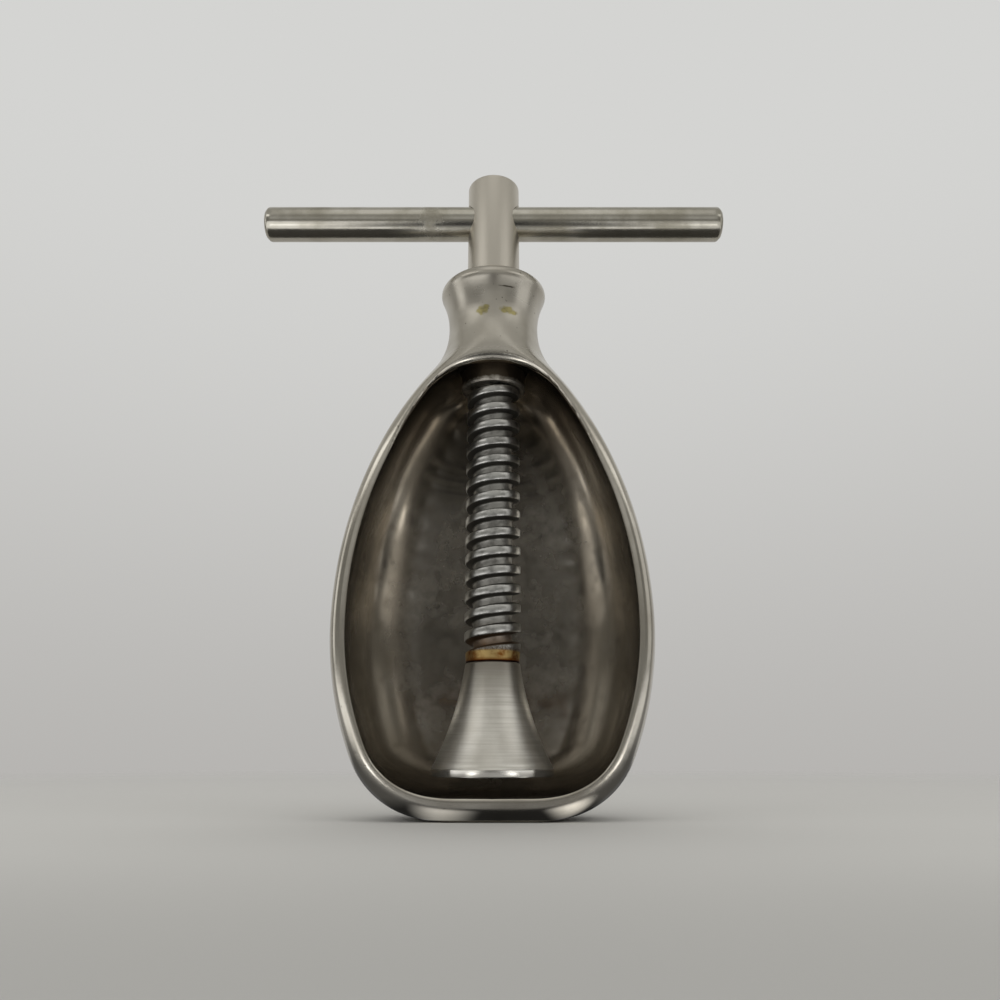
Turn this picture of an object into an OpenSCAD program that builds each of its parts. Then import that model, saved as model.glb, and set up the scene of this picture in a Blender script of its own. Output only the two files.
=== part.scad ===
// Screw nutcracker: a pear-shaped cast bowl with an open front, and a coarse screw
// through its neck that drives a flared foot down on the nut.
// The bowl stands on its flat base, the screw axis is Z and the open front faces -Y.
// The bowl is round in front of the screw axis and flatter behind it.

/* [Bowl] */
// Outside width of the bowl at its widest
belly_d = 65.4; // [58:0.2:74]
// Distance from the screw axis to the outside of the bowl's back
back_reach = 25; // [22:0.5:32]
// Height of the widest point above the base
belly_z = 37; // [32:0.5:42]
// Side-view radius of the bowl below the widest point
lower_arc_r = 68; // [62:1:80]
// Diameter of the flat base
base_d = 22; // [16:0.5:26]
// Wall thickness of the bowl
wall = 2.4; // [1.6:0.1:3.6]
// Thickness of the bowl's floor
floor_t = 4.2; // [3:0.1:6]
// Radius inside the bowl between the floor and the wall
floor_corner_r = 14; // [10:0.5:16]
// Distance from the screw axis to the plane of the open front
window_y = 10.9; // [8:0.1:14]

/* [Neck] */
// Wall of the neck round the bush, at the waist
neck_wall = 3; // [2.2:0.1:4.5]
// Height of the top of the neck
neck_z = 115; // [112:0.5:130]
// Distance from the top of the neck down to the waist
waist_drop = 11; // [9:0.5:14]
// Side-view radius of the hollow of the neck
neck_arc_r = 19.2; // [14:0.2:24]
// Radius of the rounded edge at the top of the neck
collar_bead_r = 2.2; // [1.4:0.1:3]
// Thickness of the shoulder that the bush is pressed up against
shoulder_t = 6; // [5.5:0.5:9]
// Radius at which the bowl's domed roof meets its wall
roof_r = 16.2; // [14:0.2:18]
// Radius of the dome of the roof
roof_arc_r = 19.4; // [18.5:0.1:26]

/* [Thread bush] */
// Wall of the bush outside its thread
bush_wall = 1; // [0.6:0.1:2]
// How far the bush stands out below the roof
bush_drop = 4; // [1:0.1:6]
// Radial interference of the pressed joints
press = 0.01; // [0.005:0.005:0.02]

/* [Screw] */
// Diameter of the screw and of its plain shank
screw_d = 12; // [10:0.5:14]
// Pitch of the single-start thread
pitch = 4; // [3:0.1:5]
// Depth of the thread
thread_depth = 1.8; // [1:0.1:2.2]
// Width of a thread's crest
crest_w = 1.7; // [1.2:0.1:2]
// Slope of a thread's flank from square
flank_angle = 15; // [5:1:20]
// How far the crests lie below the surface of the shank
crest_drop = 0.2; // [0.05:0.05:0.4]
// Play between the screw's thread and the bush's thread
thread_play = 0.2; // [0.1:0.02:0.3]
// Radial play of the shank in the top of the neck
shank_play = 0.15; // [0.1:0.05:0.4]
// Diameter of the screw's end above the foot
screw_end_d = 10.9; // [9:0.1:11.5]
// Height of the screw's end below the start of the thread
screw_end_h = 0.6; // [0.4:0.1:3]
// Direction in which the thread starts, from +X
thread_start = 60; // [0:5:355]
// Rounding of the screw's top edge
screw_edge_r = 0.8; // [0.2:0.1:2]
// Turns that the screw can still be driven down
down_turns = 0.5; // [0.25:0.25:0.75]

/* [Handle bar] */
// Diameter of the handle bar
bar_d = 8; // [6:0.5:9]
// Length of the handle bar
bar_len = 108; // [80:1:140]
// Height of the bar's axis above the top of the neck
bar_rise = 17.7; // [12:0.1:40]
// Distance from the top of the screw down to the bar's axis
bar_drop = 9.8; // [7:0.1:14]
// Chamfer at the bar's ends
bar_chamfer = 0.8; // [0.2:0.1:1.5]
// How far the bar's pressed seat reaches out of the screw
seat_reach = 0.5; // [0.2:0.1:2]

/* [Foot] */
// Height of the foot above the bowl's floor
foot_gap = 3.5; // [2.5:0.1:20]
// Diameter of the foot's lip
foot_d = 24; // [18:0.5:30]
// Height of the straight lip
lip_h = 1.5; // [0.5:0.1:3]
// Diameter of the foot's top
foot_top_d = 11.1; // [10:0.1:13]
// Height of the foot
foot_h = 21.7; // [16:0.1:26]
// Side-view radius of the foot's hollow flare
flare_r = 60; // [40:1:100]
// Diameter of the screw's pin in the foot
pin_d = 6; // [4:0.5:7]
// Radial play of the pin in the foot and the washer
pin_play = 0.08; // [0.05:0.01:0.1]
// Play along the axis between the screw, the foot and the washer
end_play = 0.1; // [0.05:0.05:0.3]
// Depth of the recess under the foot
recess_h = 4; // [3:0.1:6]
// Radial room between the washer and the recess
recess_room = 0.5; // [0.3:0.1:1]
// Width of the washer's ring outside the pin
washer_w = 3; // [2:0.1:4]
// Thickness of the washer
washer_t = 1.2; // [0.8:0.1:2]
// How far the riveted head spreads past the pin
head_spread = 1.1; // [0.6:0.1:1.6]
// Height of the riveted head
head_h = 1.4; // [0.8:0.1:1.6]

/* [Hidden] */
$fn = 96;
arc_step = 2.5;      // degrees between the points of an arc
bowl_step = 5;       // the same along the side view of the bowl
bead_step = 15;      // the same round the edge at the top of the neck
bowl_sides = 64;     // steps round the bowl
helix_steps = 24;    // steps in a turn of the thread
through = 1;         // how far a cut runs past the face that it opens
run_in = 0.25;       // turns over which the groove reaches its depth

belly_r = belly_d / 2;
base_r = base_d / 2;
screw_r = screw_d / 2;

// Screw thread, from its crest and root to the bush outside it
crest_r = screw_r - crest_drop;
root_r = crest_r - thread_depth;
flank_w = thread_depth * tan(flank_angle);
groove_w = pitch - crest_w;
bush_r = crest_r + thread_play + bush_wall;
waist_r = bush_r + neck_wall;
guide_r = screw_r + shank_play;

// Side view of the bowl: each arc is tangent to the next
waist_z = neck_z - waist_drop;
lower_cx = belly_r - lower_arc_r;
corner_r = (pow(lower_arc_r, 2) - pow(belly_z, 2) - pow(base_r - lower_cx, 2))
    / (2 * (lower_arc_r - belly_z));
neck_cx = waist_r + neck_arc_r;
upper_arc_r = (pow(waist_z - belly_z, 2) + pow(neck_cx - belly_r, 2) - pow(neck_arc_r, 2))
    / (2 * (belly_r - waist_r));
upper_cx = belly_r - upper_arc_r;
bead_z = neck_z - collar_bead_r;
bead_cx = neck_cx - sqrt(pow(neck_arc_r + collar_bead_r, 2) - pow(bead_z - waist_z, 2));
corner_end = atan2(corner_r - belly_z, base_r - lower_cx);
upper_end = atan2(waist_z - belly_z, neck_cx - upper_cx);
neck_end = atan2(bead_z - waist_z, bead_cx - neck_cx);

// Share of the round that is left behind the screw axis, rising to the whole at the waist
back_share = back_reach / belly_r;
blend_z = (belly_z + waist_z) / 2;

// Inside of the bowl: floor, wall and domed roof
floor_cz = floor_t + floor_corner_r;
inner_lower_r = lower_arc_r - wall;
inner_upper_cx = upper_cx - wall;
floor_cx = lower_cx + sqrt(pow(inner_lower_r - floor_corner_r, 2) - pow(belly_z - floor_cz, 2));
floor_end = atan2(floor_cz - belly_z, floor_cx - lower_cx);
wall_end = acos((roof_r - inner_upper_cx) / upper_arc_r);
roof_start = acos(roof_r / roof_arc_r);
roof_cz = belly_z + upper_arc_r * sin(wall_end) - roof_arc_r * sin(roof_start);
roof_z = roof_cz + sqrt(pow(roof_arc_r, 2) - pow(bush_r, 2));

// Heights of the bush, the foot and the screw
bush_z0 = roof_z - bush_drop;
bush_z1 = neck_z - shoulder_t;
foot_z0 = floor_t + foot_gap;
foot_z1 = foot_z0 + foot_h;
screw_z0 = foot_z1 + end_play;
bar_z = neck_z + bar_rise;
screw_z1 = bar_z + bar_drop;
groove_z = screw_z0 + screw_end_h;
groove_top = bush_z1 + (down_turns + run_in) * pitch + groove_w + thread_play;
shank_z = groove_top + thread_play;

// Pin, washer and riveted head under the foot
pin_r = pin_d / 2;
washer_r = pin_r + washer_w;
recess_z = foot_z0 + recess_h;
washer_z = recess_z - end_play - washer_t;
head_z = washer_z - end_play - head_h;

// Points of an arc in the plane of radius and height, from one angle to another
function arc(cx, cz, r, from, to, step = arc_step) =
    let (n = max(2, ceil(abs(to - from) / step)))
    [for (i = [0:n]) let (a = from + (to - from) * i / n) [cx + r * cos(a), cz + r * sin(a)]];

// Centre of the circle of radius r through two points, on the right of the way from p to q
function arc_centre(p, q, r) =
    let (half = (q - p) / 2, d = norm(half))
    p + half + [half[1], -half[0]] / d * sqrt(r * r - d * d);

// Outline from which each point that repeats the one before it is left out
function distinct(points) =
    [for (i = [0:len(points) - 1]) if (i == 0 || norm(points[i] - points[i - 1]) > 0.001) points[i]];

// Side view of the outside, from below the base up to the top of the neck
bowl_outside = distinct(concat(
    [[base_r, -through]],
    arc(base_r, corner_r, corner_r, -90, corner_end, bowl_step),
    arc(lower_cx, belly_z, lower_arc_r, corner_end, 0, bowl_step),
    arc(upper_cx, belly_z, upper_arc_r, 0, upper_end, bowl_step),
    arc(neck_cx, waist_z, neck_arc_r, 180 + upper_end, neck_end, bowl_step),
    arc(bead_cx, bead_z, collar_bead_r, neck_end - 180, 90, bead_step)
));

// Side view of the bowl's hollow, from the floor up to the bore of the bush
bowl_inside = distinct(concat(
    arc(floor_cx, floor_cz, floor_corner_r, -90, floor_end, bowl_step),
    arc(lower_cx, belly_z, inner_lower_r, floor_end, 0, bowl_step),
    arc(inner_upper_cx, belly_z, upper_arc_r, 0, wall_end, bowl_step),
    arc(0, roof_cz, roof_arc_r, roof_start, acos((bush_r - through) / roof_arc_r), bowl_step)
));

// How deep the bowl is behind the screw axis at a height, as a share of its half width there
function depth_share(z) =
    let (t = max(0, min(1, (z - blend_z) / (waist_z - blend_z))))
    back_share + (1 - back_share) * t * t * (3 - 2 * t);

// Solid with this side view, round in front of the screw axis and flattened behind it
module pear(outline) {
    n = bowl_sides;
    function spot(p, a) = [p[0] * cos(a), p[0] * sin(a) * (sin(a) > 0 ? depth_share(p[1]) : 1), p[1]];
    function at(i, k) = i * n + k % n;
    last = len(outline) - 1;
    sides = [for (i = [0:last - 1], k = [0:n - 1], up = [true, false])
        up ? [at(i, k), at(i + 1, k), at(i + 1, k + 1)] : [at(i, k), at(i + 1, k + 1), at(i, k + 1)]];
    ends = [[for (k = [0:n - 1]) at(0, k)], [for (k = [n - 1:-1:0]) at(last, k)]];
    polyhedron([for (p = outline, k = [0:n - 1]) spot(p, 360 * k / n)], concat(sides, ends));
}

// Cast bowl and neck, closed at the back and cut open in front
module frame() {
    color("silver")
    difference() {
        pear(bowl_outside);
        pear(bowl_inside);
        rotate_extrude() polygon([[0, bush_z0], [bush_r, bush_z0], [bush_r, bush_z1],
            [guide_r, bush_z1], [guide_r, neck_z + through], [0, neck_z + through]]);
        translate([-belly_d, -belly_d - window_y, -2 * through])
            cube([2 * belly_d, belly_d, waist_z + 2 * through]);
        translate([-belly_d, -belly_d, -2 * through]) cube([2 * belly_d, 2 * belly_d, 2 * through]);
    }
}

// Rod with one helical groove that fades in above its plain foot and out below its plain top.
// z0 is its lower end, and the groove runs from the height from to the height to.
module threaded_rod(z0, from, to, foot_r, crest_r, root_r, groove_w) {
    n = helix_steps;
    z1 = to + pitch - groove_w + through;
    steps = floor((to - from - groove_w) / pitch * n);
    edge = [0, flank_w, groove_w - flank_w, groove_w];
    depth = [0, 1, 1, 0];
    function turned(r, k, z) = [r * cos(360 * k / n), r * sin(360 * k / n), z];
    function swell(k) = foot_r + (crest_r - foot_r) * min(1, k / n);
    function fade(k) = min(1, k / n / run_in, (steps - k) / n / run_in);
    function rise(k) = from + pitch * k / n;
    groove = [for (k = [0:steps], j = [0:3])
        turned(swell(k) - depth[j] * (crest_r - root_r) * fade(k), k, rise(k) + edge[j])];
    last_turn = [for (k = [steps + 1:steps + n]) turned(crest_r, k, rise(k))];
    bottom = [for (k = [0:n - 1]) turned(foot_r, k, z0)];
    top = [for (k = [0:n - 1]) turned(crest_r, k, z1)];
    function g(k, j) = 4 * k + j;
    function h(k) = k <= steps ? g(k, 0) : 4 * (steps + 1) + k - steps - 1;
    function b(k) = 4 * (steps + 1) + n + k % n;
    function t(k) = 4 * (steps + 1) + 2 * n + k % n;
    function quad(p, q, r, s) = [[p, q, r], [p, r, s]];
    function fan(p, rim) = [for (i = [0:len(rim) - 2]) [p, rim[i], rim[i + 1]]];
    strip = [for (k = [0:steps - 1], j = [0:3], f = j < 3
        ? quad(g(k, j), g(k, j + 1), g(k + 1, j + 1), g(k + 1, j))
        : quad(g(k, 3), h(k + n), h(k + n + 1), g(k + 1, 3))) f];
    skirt = [for (k = [0:n - 2], f = quad(b(k), h(k), h(k + 1), b(k + 1))) f];
    skirt_end = fan(h(n - 1), [h(n), g(0, 3), g(0, 2), g(0, 1), h(0), b(0), b(n - 1)]);
    crown = [for (k = [steps + 1:steps + n - 1], f = quad(h(k), t(k), t(k + 1), h(k + 1))) f];
    crown_end = fan(h(steps + 1), [h(steps), g(steps, 1), g(steps, 2), g(steps, 3),
        h(steps + n), t(steps), t(steps + 1)]);
    ends = [[for (k = [0:n - 1]) b(k)], [for (k = [n - 1:-1:0]) t(k)]];
    rotate([0, 0, thread_start])
        polyhedron(concat(groove, last_turn, bottom, top),
            concat(strip, skirt, skirt_end, crown, crown_end, ends));
}

// Threaded bush, pressed up against the shoulder in the neck
module thread_bush() {
    lead_turns = 2;
    cut_turns = floor((bush_z0 - groove_z) / pitch) - lead_turns;
    cut_z = groove_z + cut_turns * pitch + thread_play;
    color("dimgray")
    difference() {
        translate([0, 0, bush_z0]) cylinder(r = bush_r + press, h = bush_z1 - bush_z0);
        threaded_rod(cut_z - through, cut_z, bush_z1 + lead_turns * pitch, root_r + thread_play,
            crest_r + thread_play, root_r + thread_play, groove_w - 2 * thread_play);
    }
}

// Screw with its plain shank, its cross hole, and the pin that is riveted over under the foot
module spindle() {
    color("gray")
    union() {
        threaded_rod(screw_z0, groove_z, groove_top, screw_end_d / 2, crest_r, root_r, groove_w);
        difference() {
            rotate_extrude() polygon(concat([[0, shank_z], [screw_r, shank_z]],
                arc(screw_r - screw_edge_r, screw_z1 - screw_edge_r, screw_edge_r, 0, 90),
                [[0, screw_z1]]));
            translate([0, 0, bar_z]) rotate([0, 90, 0])
                cylinder(r = bar_d / 2, h = screw_d + 2 * through, center = true);
        }
        rotate_extrude() polygon([[0, head_z], [pin_r, head_z], [pin_r + head_spread, head_z + head_h],
            [pin_r, head_z + head_h], [pin_r, screw_z0 + through], [0, screw_z0 + through]]);
    }
}

// Handle bar, pressed through the head of the screw by the seat at its middle
module tommy_bar() {
    r = bar_d / 2;
    end = bar_len / 2;
    seat = screw_r + seat_reach;
    color("lightgray")
    translate([0, 0, bar_z]) rotate([0, 90, 0]) rotate_extrude()
        polygon([[0, -end], [r - bar_chamfer, -end], [r, bar_chamfer - end], [r, -seat],
            [r + press, -seat], [r + press, seat], [r, seat],
            [r, end - bar_chamfer], [r - bar_chamfer, end], [0, end]]);
}

// Turned foot with a hollow flare, free to turn on the pin of the screw
module pressure_foot() {
    top = [foot_top_d / 2, foot_z1];
    lip = [foot_d / 2, foot_z0 + lip_h];
    c = arc_centre(lip, top, flare_r);
    from = atan2(lip[1] - c[1], lip[0] - c[0]);
    to = atan2(top[1] - c[1], top[0] - c[0]);
    bore_r = pin_r + pin_play;
    recess_r = washer_r + recess_room;
    color("gainsboro")
    rotate_extrude() polygon(concat(
        [[bore_r, recess_z], [recess_r, recess_z], [recess_r, foot_z0], [foot_d / 2, foot_z0]],
        arc(c[0], c[1], flare_r, from < 0 ? from + 360 : from, to < 0 ? to + 360 : to),
        [[bore_r, foot_z1]]));
}

// Washer between the riveted head and the foot
module foot_washer() {
    color("darkgray")
    translate([0, 0, washer_z]) difference() {
        cylinder(r = washer_r, h = washer_t);
        translate([0, 0, -through]) cylinder(r = pin_r + pin_play, h = washer_t + 2 * through);
    }
}

frame();
thread_bush();
spindle();
tommy_bar();
pressure_foot();
foot_washer();
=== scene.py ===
import math

import bmesh
import bpy
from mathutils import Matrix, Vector
from mathutils.kdtree import KDTree


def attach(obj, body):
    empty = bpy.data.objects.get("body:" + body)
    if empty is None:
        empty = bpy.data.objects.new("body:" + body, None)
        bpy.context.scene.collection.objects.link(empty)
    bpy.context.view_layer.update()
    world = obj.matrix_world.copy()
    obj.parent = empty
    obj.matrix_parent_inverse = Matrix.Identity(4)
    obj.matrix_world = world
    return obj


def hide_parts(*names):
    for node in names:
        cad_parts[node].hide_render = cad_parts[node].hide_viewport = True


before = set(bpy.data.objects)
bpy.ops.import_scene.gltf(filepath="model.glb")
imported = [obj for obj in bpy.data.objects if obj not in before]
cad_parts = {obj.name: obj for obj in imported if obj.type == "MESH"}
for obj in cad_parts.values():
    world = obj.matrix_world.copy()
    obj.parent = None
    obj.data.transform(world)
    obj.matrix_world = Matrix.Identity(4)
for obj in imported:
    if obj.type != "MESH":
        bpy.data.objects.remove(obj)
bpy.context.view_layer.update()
mm = 0.001    # the pieces are written in millimetres, the scene is in metres
weld = 0.002  # mm, points closer than this are merged
touch = 0.01  # mm, places closer than this count as the same
print("frame loaded:", sorted(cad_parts))


# Small helpers for drawing and turning outlines

def arc(cx, cz, radius, start, end, gap):
    # points on an arc, about one gap apart, angles in degrees
    count = max(2, math.ceil(abs(math.radians(end - start)) * radius / gap))
    angles = [math.radians(start + (end - start) * i / count) for i in range(count + 1)]
    return [(cx + radius * math.cos(a), cz + radius * math.sin(a)) for a in angles]


def line(start, end, gap):
    count = max(1, math.ceil(math.dist(start, end) / gap))
    return [tuple(a + (b - a) * i / count for a, b in zip(start, end)) for i in range(count + 1)]


def angleOf(x, z):
    return math.degrees(math.atan2(z, x))


def ramp(value, low, high):
    # 0 up to low, 1 from high on
    return max(0, min(1, (value - low) / (high - low)))


def drawOutline(name, points):
    # a plane merged to one vertex, then extruded from point to point in front of the screw axis
    bpy.ops.object.select_all(action="DESELECT")
    bpy.ops.mesh.primitive_plane_add(size=mm)
    piece = bpy.context.object
    piece.name = piece.data.name = name
    bpy.ops.object.mode_set(mode="EDIT")
    bpy.ops.mesh.select_mode(type="VERT")
    bpy.ops.mesh.merge(type="CENTER")
    places = [Vector((0, -r * mm, z * mm)) for r, z in points]
    bpy.ops.transform.translate(value=places[0])
    for here, there in zip(places, places[1:]):
        if (there - here).length > 1e-7:
            bpy.ops.mesh.extrude_vertices_move(TRANSFORM_OT_translate={"value": there - here})
    bpy.ops.mesh.select_all(action="SELECT")
    return piece


def turnOutline(name, points, steps):
    # the closed outline is spun once round the screw axis
    piece = drawOutline(name, points)
    bpy.ops.mesh.spin(steps=steps, angle=math.tau, center=(0, 0, 0), axis=(0, 0, 1))
    closeMesh()
    return piece


def closeMesh():
    bpy.ops.mesh.select_all(action="SELECT")
    bpy.ops.mesh.remove_doubles(threshold=weld * mm)
    bpy.ops.mesh.normals_make_consistent(inside=False)
    bpy.ops.object.mode_set(mode="OBJECT")


def pick(piece):
    bpy.ops.object.select_all(action="DESELECT")
    piece.select_set(True)
    bpy.context.view_layer.objects.active = piece


def layAlong(height):
    # turns the mesh of the active object from the screw axis to the bar's axis
    bpy.ops.object.mode_set(mode="EDIT")
    bpy.ops.mesh.select_all(action="SELECT")
    bpy.ops.transform.rotate(value=math.pi / 2, orient_axis="Y", center_override=(0, 0, 0))
    bpy.ops.transform.translate(value=(0, 0, height * mm))
    bpy.ops.object.mode_set(mode="OBJECT")


def applyModifier(piece, kind, **settings):
    pick(piece)
    bpy.ops.object.modifier_add(type=kind)
    modifier = piece.modifiers[-1]
    for key, value in settings.items():
        setattr(modifier, key, value)
    bpy.ops.object.modifier_apply(modifier=modifier.name)


def combine(piece, other, operation):
    applyModifier(piece, "BOOLEAN", object=other, operation=operation, solver="EXACT")
    bpy.data.objects.remove(other)


def smooth(piece, angle):
    pick(piece)
    bpy.ops.object.shade_smooth_by_angle(angle=math.radians(angle))


def setIn(piece, node, body, slot, *materials):
    piece.data.materials.clear()
    for material in materials:
        piece.data.materials.append(material)
    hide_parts(node)
    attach(piece, body)
    print(piece.name, "faces:", len(piece.data.polygons))


# Small helpers for materials

def inMetres(sizes):
    return [size * mm for size in sizes]


def grain(size):
    return 1 / (size * mm)  # texture scale for features of this size in millimetres


def hexColour(text):
    # sRGB to linear
    parts = [int(text[i:i + 2], 16) / 255 for i in (1, 3, 5)]
    return tuple(p / 12.92 if p <= 0.04045 else ((p + 0.055) / 1.055) ** 2.4 for p in parts) + (1,)


def addNode(tree, kind, inputs=(), out=0, **settings):
    # inputs come in order or by name, each a link, a number or a hex colour; one output is given back
    made = tree.nodes.new("ShaderNode" + kind)
    for key, value in settings.items():
        setattr(made, key, value)
    for key, value in inputs.items() if isinstance(inputs, dict) else enumerate(inputs):
        if isinstance(value, bpy.types.NodeSocket):
            tree.links.new(value, made.inputs[key])
        else:
            made.inputs[key].default_value = hexColour(value) if isinstance(value, str) else value
    return made.outputs[out]


def startMaterial(name):
    material = bpy.data.materials.new(name)
    material.use_nodes = True
    tree = material.node_tree
    place = addNode(tree, "TexCoord", out="Object")
    return material, tree, tree.nodes["Principled BSDF"], place


def finishMetal(tree, shader, colour, rough, height, relief, metallic=1):
    # relief is the depth of the bumps in millimetres and how strongly they show
    depth, strength = relief
    bump = addNode(tree, "Bump", {"Strength": strength, "Distance": depth * mm, "Height": height})
    for name, value in (("Base Color", colour), ("Roughness", rough), ("Normal", bump)):
        tree.links.new(value, shader.inputs[name])
    shader.inputs["Metallic"].default_value = metallic


def ovalSpot(tree, place, ragged, middle, reach):
    # 1 in the middle of an oval, falling to 0 at its torn edge
    away = addNode(tree, "VectorMath", (place, inMetres(middle)), operation="SUBTRACT")
    away = addNode(tree, "VectorMath", (away, [grain(c) for c in reach]), operation="MULTIPLY")
    away = addNode(tree, "VectorMath", [away], "Value", operation="LENGTH")
    torn = addNode(tree, "Math", (ragged, 1.6, away), operation="MULTIPLY_ADD")
    return addNode(tree, "MapRange", (torn, 1.85, 1.35))


# Nickel plate over brass, buffed by hand and worn: a warm grey mirror gone soft, with faint rubbing
# lines round the bowl, small dark nicks, and brass showing where the plate is through

wornNickel = {
    "plate": "#c6c1b6",
    "dull": "#aca69a",
    "brass": "#a39a6c",
    "brassEdge": "#7f785a",
    "nick": "#5c574e",
    "cloud": 11,             # mm, size of the dull clouds
    "pit": 0.8,              # mm, spacing of the nicks
    "tear": 1.1,             # mm, raggedness of the worn spots
    "rub": 0.5,              # mm, spacing of the rubbing lines, drawn coarser than the real ones
    "rubStretch": (0.08, 0.08, 1),
    "rough": (0.16, 0.26),
    "neckRough": 0.14,       # added on the neck
    "collarRough": 0.09,     # added on the collar
    "neckLow": (92, 97),     # mm, heights over which the plate grows duller towards the neck
    "neckHigh": (108, 105),  # the same downwards from the collar
    "relief": (0.02, 0.25),
    "spots": [((-2.4, -9.7, 104.2), (1.5, 2, 1.1)), ((-1.5, -9.8, 104.9), (0.8, 2, 0.8)),
              ((3.1, -9.5, 104.4), (1.7, 2, 0.9)), ((4.6, -8.9, 104.0), (1.0, 2, 0.6))],
    "scratch": ((3.2, -11, 109.7), (2.2, 3, 0.22)),   # mm, middle and reach, as for the spots
}


def makeNickel(spec):
    material, tree, shader, place = startMaterial("wornNickelPlate")
    cloud, pits, ragged = [
        addNode(tree, "TexNoise", {"Vector": place, "Scale": grain(spec[size]), "Detail": detail})
        for size, detail in (("cloud", 5), ("pit", 2), ("tear", 3))]
    dull = addNode(tree, "MapRange", (cloud, 0.35, 0.7))
    nick = addNode(tree, "MapRange", (pits, 0.72, 0.78))
    colour = addNode(tree, "MixRGB", (dull, spec["plate"], spec["dull"]))
    colour = addNode(tree, "MixRGB", (nick, colour, spec["nick"]))
    edge = addNode(tree, "MapRange", (ragged, 0.4, 0.65))
    brass = addNode(tree, "MixRGB", (edge, spec["brass"], spec["brassEdge"]))
    for middle, reach in spec["spots"]:
        spot = ovalSpot(tree, place, ragged, middle, reach)
        colour = addNode(tree, "MixRGB", (spot, colour, brass))
    scratch = ovalSpot(tree, place, ragged, *spec["scratch"])
    colour = addNode(tree, "MixRGB", (scratch, colour, spec["nick"]))
    height = addNode(tree, "SeparateXYZ", [place], "Z")
    neck = spec["neckRough"]
    low = addNode(tree, "MapRange", (height, *inMetres(spec["neckLow"]), 0, neck))
    high = addNode(tree, "MapRange", (height, *inMetres(spec["neckHigh"]), spec["collarRough"], neck))
    onNeck = addNode(tree, "Math", (low, high), operation="MINIMUM")
    rough = addNode(tree, "MapRange", (cloud, 0.3, 0.75, *spec["rough"]))
    rough = addNode(tree, "Math", (rough, onNeck), operation="ADD")
    rubbed = addNode(tree, "Mapping", {"Vector": place, "Scale": spec["rubStretch"]})
    rub = addNode(tree, "TexNoise", {"Vector": rubbed, "Scale": grain(spec["rub"]), "Detail": 3})
    bumps = addNode(tree, "Math", (rub, nick), operation="SUBTRACT")
    finishMetal(tree, shader, colour, rough, bumps, spec["relief"])
    return material


# The plate inside the bowl, never buffed and stained by nut oil: a mirror clouded in places;
# painted shade makes it brown beside the rim, under the roof and on the floor

stainedNickel = {
    "stain": "#cfcac1",
    "deep": "#b5afa4",
    "grime": "#8b8478",
    "paintedShade": "#776e61",         # painted shade beside the rim, under the roof and on the floor
    "paintedShadeShare": 0.8,
    "rim": (7, -4),             # mm, from where to where the painted shade comes in: along Y, then along Z
    "roof": (68, 84),
    "floor": (18, 8),
    "cloud": 12,
    "blotch": 3,
    "patch": 10,                # mm, size of the patches at the back where the plate has gone dull
    "haze": (9, 19),            # mm behind the screw axis, over which the back clouds over
    "metallic": (0.97, 0.75),   # of the clear plate and of the clouded plate
    "patchLoss": 0.35,          # how much less metallic the dull patches are
    "rough": (0.09, 0.2),
    "hazeRough": 0.1,
    "relief": (0.01, 0.04),
}


def makeStainedNickel(spec):
    material, tree, shader, place = startMaterial("stainedNickelPlate")
    cloud, blotch, patch = [
        addNode(tree, "TexNoise", {"Vector": place, "Scale": grain(spec[size]), "Detail": detail})
        for size, detail in (("cloud", 4), ("blotch", 5), ("patch", 4))]
    deep = addNode(tree, "MapRange", (cloud, 0.35, 0.65))
    grime = addNode(tree, "MapRange", (blotch, 0.55, 0.8, 0, 0.6))
    colour = addNode(tree, "MixRGB", (deep, spec["stain"], spec["deep"]))
    colour = addNode(tree, "MixRGB", (grime, colour, spec["grime"]))
    behind = addNode(tree, "SeparateXYZ", [place], "Y")
    height = addNode(tree, "SeparateXYZ", [place], "Z")
    # painted shade: darker beside the rim, under the roof and on the floor
    darkening = addNode(tree, "MapRange", (behind, *inMetres(spec["rim"])))
    for end in ("roof", "floor"):
        there = addNode(tree, "MapRange", (height, *inMetres(spec[end])))
        darkening = addNode(tree, "Math", (darkening, there), operation="MAXIMUM")
    darkening = addNode(tree, "Math", (darkening, spec["paintedShadeShare"]), operation="MULTIPLY")
    colour = addNode(tree, "MixRGB", (darkening, colour, spec["paintedShade"]))
    back = addNode(tree, "MapRange", (behind, *inMetres(spec["haze"])))
    haze = addNode(tree, "MapRange", (blotch, 0.35, 0.65, 0.5, 1))
    haze = addNode(tree, "Math", (back, haze), operation="MULTIPLY")
    patch = addNode(tree, "MapRange", (patch, 0.46, 0.66))
    patch = addNode(tree, "Math", (patch, haze), operation="MULTIPLY")
    rough = addNode(tree, "MapRange", (cloud, 0.35, 0.7, *spec["rough"]))
    rough = addNode(tree, "Math", (haze, spec["hazeRough"], rough), operation="MULTIPLY_ADD")
    finishMetal(tree, shader, colour, rough, blotch, spec["relief"])
    metallic = addNode(tree, "MapRange", (haze, 0, 1, *spec["metallic"]))
    metallic = addNode(tree, "Math", (patch, -spec["patchLoss"], metallic), operation="MULTIPLY_ADD")
    tree.links.new(metallic, shader.inputs["Metallic"])
    return material


# Cut steel: crests rubbed bright by the bush, painted shade on the sloping sides, grey roots, rust at
# the lower end

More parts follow.
